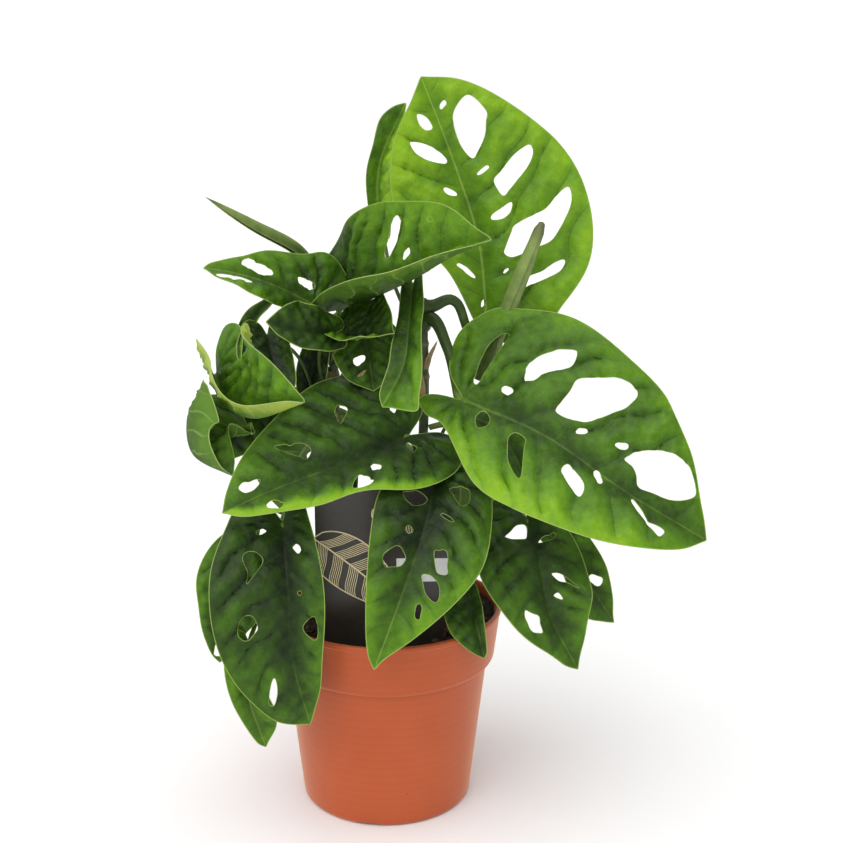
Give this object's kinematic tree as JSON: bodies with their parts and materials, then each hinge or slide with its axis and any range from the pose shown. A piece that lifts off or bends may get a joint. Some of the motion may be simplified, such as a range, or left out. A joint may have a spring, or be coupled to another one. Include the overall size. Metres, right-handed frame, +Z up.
{
  "type": "potted monstera plant",
  "caption": "Holed-leaf climbing houseplant in a round plastic nursery pot of soil, with arching leaf stalks, rolled new leaves and a dark plant card standing at the front",
  "frame": {"origin": "the middle of the pot's flat underside, on the surface that the pot stands on", "axes": "+Z up, the long way of the part; -Y towards the side with the card and the largest hanging leaves; +X to the right as that side is looked at"},
  "size_m": [0.2489, 0.1692, 0.3721],
  "materials": {
    "pot_plastic": "satin moulded",
    "soil_earth": "rough, loose bark and peat",
    "leaf_green": "waxy, semi-gloss",
    "leaf_lime": "waxy, semi-gloss",
    "petiole_green": "satin",
    "sheath_dry": "papery",
    "card_black": "coated card",
    "card_gold": "printed"
  },
  "bodies": {
    "root": {"leaf_top": "leaf_lime", "leaf_front_right": "leaf_green", "leaf_front_left": "leaf_green", "leaf_front_centre": "leaf_green", "leaf_hanging_left": "leaf_green", "leaf_hanging_right": "leaf_green", "leaf_right_behind": "leaf_green", "leaf_small_rim": "leaf_green", "leaf_centre_upper": "leaf_green", "leaf_left_upper": "leaf_green", "leaf_left_mid": "leaf_green", "leaf_left_low": "leaf_green", "leaf_left_back": "leaf_green", "leaf_behind_left": "leaf_green", "leaf_low_left": "leaf_green", "leaf_behind_top": "leaf_green", "leaf_centre_dark": "leaf_green", "leaf_centre_olive": "leaf_green", "leaf_centre_hanging": "leaf_green", "leaf_left_wavy": "leaf_green", "leaf_left_olive": "leaf_green", "leaf_back_left": "leaf_green", "leaf_back_right": "leaf_green", "leaf_back_low": "leaf_green", "petiole_top": "petiole_green", "petiole_front_right": "petiole_green", "petiole_front_left": "petiole_green", "petiole_front_centre": "petiole_green", "petiole_hanging_left": "petiole_green", "petiole_hanging_right": "petiole_green", "petiole_right_behind": "petiole_green", "petiole_small_rim": "petiole_green", "petiole_centre_upper": "petiole_green", "petiole_left_upper": "petiole_green", "petiole_left_mid": "petiole_green", "petiole_left_low": "petiole_green", "petiole_left_back": "petiole_green", "petiole_behind_left": "petiole_green", "petiole_low_left": "petiole_green", "petiole_behind_top": "petiole_green", "petiole_centre_dark": "petiole_green", "petiole_centre_olive": "petiole_green", "petiole_centre_hanging": "petiole_green", "petiole_left_wavy": "petiole_green", "petiole_left_olive": "petiole_green", "petiole_back_left": "petiole_green", "petiole_back_right": "petiole_green", "petiole_back_low": "petiole_green", "stem_centre": "petiole_green", "stem_left": "petiole_green", "stem_right": "petiole_green", "new_leaf_right": "leaf_lime", "new_leaf_left": "leaf_lime", "plant_card": "card_black", "pot": "pot_plastic", "soil": "soil_earth"}
  },
  "joints": []
}
